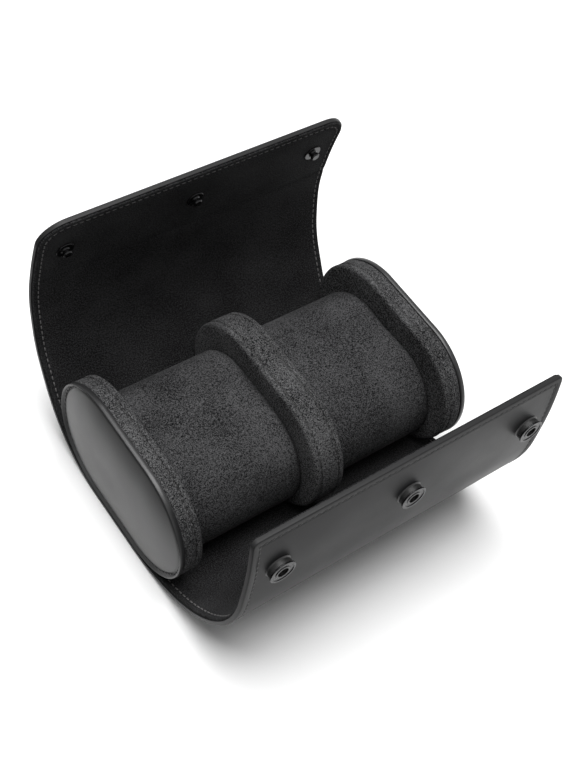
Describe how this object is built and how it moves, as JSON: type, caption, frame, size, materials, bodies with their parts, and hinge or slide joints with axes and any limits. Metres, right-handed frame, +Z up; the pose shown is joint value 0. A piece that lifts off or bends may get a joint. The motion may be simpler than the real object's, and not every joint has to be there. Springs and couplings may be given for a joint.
{
  "type": "watch travel case",
  "caption": "Soft watch roll with padded ends and divider, lift-out cushions, and a wrap-round cover whose flaps bend over and snap shut.",
  "frame": {"origin": "the middle of the flat underside of the floor, half-way along the roll", "axes": "+X along the roll, -Y towards the front flap with the snap sockets, +Z up"},
  "size_m": [0.15, 0.1603, 0.1184],
  "materials": {
    "leather": "smooth matte black",
    "lining": "short-nap charcoal microfibre",
    "stiffener": "plain, hidden",
    "padding": "foam, hidden",
    "snap_black": "semi-gloss black",
    "snap_metal": "dark gunmetal plating"
  },
  "bodies": {
    "base": {"base_leather": "leather", "base_board": "stiffener", "base_lining": "lining", "left_cap_rim": "leather", "left_cap_disc": "leather", "left_cap_core": "padding", "left_cap_band": "lining", "left_cap_face": "lining", "right_cap_rim": "leather", "right_cap_disc": "leather", "right_cap_core": "padding", "right_cap_band": "lining", "right_cap_face": "lining", "divider_core": "padding", "divider_band": "lining", "divider_left_face": "lining", "divider_right_face": "lining"},
    "lid_lower": {"lid_lower_leather": "leather", "lid_lower_board": "stiffener", "lid_lower_lining": "lining", "lid_lower_bend": "leather"},
    "lid_middle": {"lid_middle_leather": "leather", "lid_middle_board": "stiffener", "lid_middle_lining": "lining", "lid_middle_bend": "leather"},
    "lid_upper": {"lid_upper_leather": "leather", "lid_upper_board": "stiffener", "lid_upper_lining": "lining", "lid_upper_bend": "leather"},
    "lid_strip": {"lid_strip_leather": "leather", "lid_strip_board": "stiffener", "lid_strip_lining": "lining", "lid_strip_bend": "leather", "snap_studs": "snap_metal", "snap_stud_caps": "snap_metal"},
    "front_lower": {"front_lower_leather": "leather", "front_lower_board": "stiffener", "front_lower_lining": "lining", "front_lower_bend": "leather"},
    "front_middle": {"front_middle_leather": "leather", "front_middle_board": "stiffener", "front_middle_lining": "lining", "front_middle_bend": "leather"},
    "front_upper": {"front_upper_leather": "leather", "front_upper_board": "stiffener", "front_upper_lining": "lining", "front_upper_bend": "leather"},
    "front_strip": {"front_strip_leather": "leather", "front_strip_board": "stiffener", "front_strip_lining": "lining", "front_strip_bend": "leather", "snap_socket_drums": "snap_black", "snap_socket_rings": "snap_metal", "snap_socket_rivets": "snap_metal"},
    "left_cushion": {"left_cushion_cover": "lining", "left_cushion_core": "padding"},
    "right_cushion": {"right_cushion_cover": "lining", "right_cushion_core": "padding"}
  },
  "joints": [
    {"name": "lid_lower_bend", "type": "hinge", "parent": "base", "child": "lid_lower", "pos_m": [0, 0.0422, 0.01009], "axis": [-1, 0, 0], "range_deg": [-25.1, 25.1]},
    {"name": "lid_middle_bend", "type": "hinge", "parent": "lid_lower", "child": "lid_middle", "pos_m": [0, 0.06008, 0.03131], "axis": [-1, 0, 0], "range_deg": [-25.55, 25.55]},
    {"name": "lid_upper_bend", "type": "hinge", "parent": "lid_middle", "child": "lid_upper", "pos_m": [0, 0.07088, 0.05687], "axis": [-1, 0, 0], "range_deg": [-15.35, 15.35]},
    {"name": "lid_strip_bend", "type": "hinge", "parent": "lid_upper", "child": "lid_strip", "pos_m": [0, 0.07319, 0.0806], "axis": [-1, 0, 0], "range_deg": [-13, 25]},
    {"name": "front_lower_bend", "type": "hinge", "parent": "base", "child": "front_lower", "pos_m": [0, -0.03528, 0.00477], "axis": [1, 0, 0], "range_deg": [-32.4, 25.9]},
    {"name": "front_middle_bend", "type": "hinge", "parent": "front_lower", "child": "front_middle", "pos_m": [0, -0.05981, 0.01774], "axis": [1, 0, 0], "range_deg": [-17.05, 13.64]},
    {"name": "front_upper_bend", "type": "hinge", "parent": "front_middle", "child": "front_upper", "pos_m": [0, -0.07608, 0.04022], "axis": [1, 0, 0], "range_deg": [-25.25, 20.19]},
    {"name": "front_strip_bend", "type": "hinge", "parent": "front_upper", "child": "front_strip", "pos_m": [0, -0.08049, 0.06761], "axis": [1, 0, 0], "range_deg": [-13.05, 10.44]},
    {"name": "left_cushion_lift", "type": "slide", "parent": "base", "child": "left_cushion", "axis": [0, 0, 1], "range_m": [0, 0.06]},
    {"name": "right_cushion_lift", "type": "slide", "parent": "base", "child": "right_cushion", "axis": [0, 0, 1], "range_m": [0, 0.06]}
  ],
  "couplings": [
    {"joint": "lid_middle_bend", "follows": "lid_lower_bend", "ratio": 1.0159},
    {"joint": "lid_upper_bend", "follows": "lid_lower_bend", "ratio": 0.60956},
    {"joint": "front_middle_bend", "follows": "front_lower_bend", "ratio": 0.52469},
    {"joint": "front_upper_bend", "follows": "front_lower_bend", "ratio": 0.77778},
    {"joint": "front_strip_bend", "follows": "front_lower_bend", "ratio": 0.40124}
  ]
}
